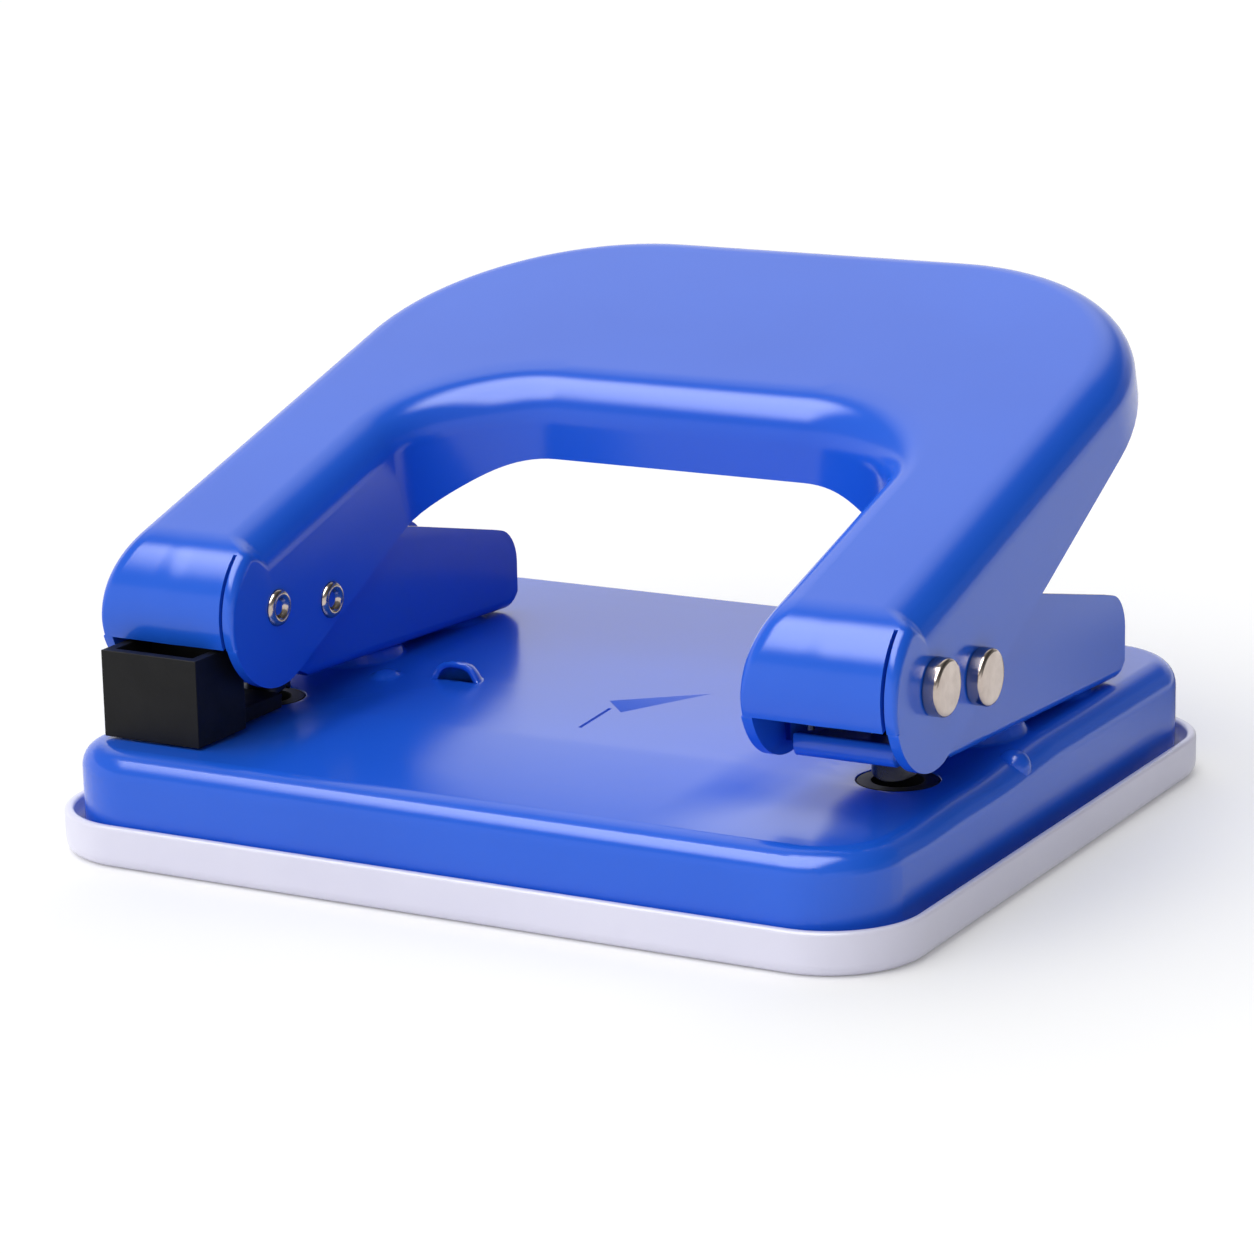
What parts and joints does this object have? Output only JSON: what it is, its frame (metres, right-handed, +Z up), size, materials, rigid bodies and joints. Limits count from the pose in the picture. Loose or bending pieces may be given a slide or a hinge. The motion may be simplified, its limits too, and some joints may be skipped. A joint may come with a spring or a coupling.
{
  "type": "two-hole desk punch",
  "caption": "Desk punch for round file holes: broad sprung lever over a pressed steel base, cross pins driving round punches through dies into a lift-off chip tray.",
  "frame": {"origin": "centre of the tray's flat underside, on the table", "axes": "+X to the right along the front edge, +Y from the front edge to the back, +Z up"},
  "size_m": [0.1048, 0.0961, 0.0566],
  "materials": {
    "tray_plastic": "satin moulded plastic",
    "blue_paint": "glossy baked enamel",
    "dark_steel": "ground, blackened",
    "plain_steel": "bright zinc",
    "black_plastic": "fine matt grain",
    "nickel": "nickel plate"
  },
  "bodies": {
    "tray": {"chip_tray": "tray_plastic"},
    "base": {"base_plate": "blue_paint", "die_left": "dark_steel", "die_right": "dark_steel", "frame_left": "blue_paint", "frame_right": "blue_paint", "bridge_left": "plain_steel", "bridge_right": "plain_steel", "frame_rivets_left": "plain_steel", "frame_rivets_right": "plain_steel", "spring_left": "plain_steel", "spring_right": "plain_steel"},
    "lever": {"lever": "blue_paint", "pivot_pin_left": "nickel", "pivot_pin_right": "nickel", "drive_pin_left": "nickel", "drive_pin_right": "nickel"},
    "left_punch": {"punch_left": "dark_steel"},
    "right_punch": {"punch_right": "dark_steel"},
    "block": {"nose_block": "black_plastic"}
  },
  "joints": [
    {"name": "tray_lift", "type": "slide", "parent": "tray", "child": "base", "axis": [0, 0, 1], "range_m": [0, 0.03]},
    {"name": "lever_press", "type": "hinge", "parent": "base", "child": "lever", "pos_m": [0, -0.0264, 0.0261], "axis": [-1, 0, 0], "range_deg": [0, 22], "stiffness_Nm_per_rad": 0.6, "springref_deg": -20.05, "deforming": ["spring_left", "spring_right"]},
    {"name": "left_punch_slide", "type": "slide", "parent": "base", "child": "left_punch", "axis": [0, 0, -1], "range_m": [0, 0.004]},
    {"name": "right_punch_slide", "type": "slide", "parent": "base", "child": "right_punch", "axis": [0, 0, -1], "range_m": [0, 0.004]},
    {"name": "block_pull", "type": "slide", "parent": "base", "child": "block", "axis": [0, -1, 0], "range_m": [0, 0.03]}
  ],
  "couplings": [
    {"joint": "left_punch_slide", "follows": "lever_press", "m_per_rad": 0.010285},
    {"joint": "right_punch_slide", "follows": "lever_press", "m_per_rad": 0.010285}
  ]
}
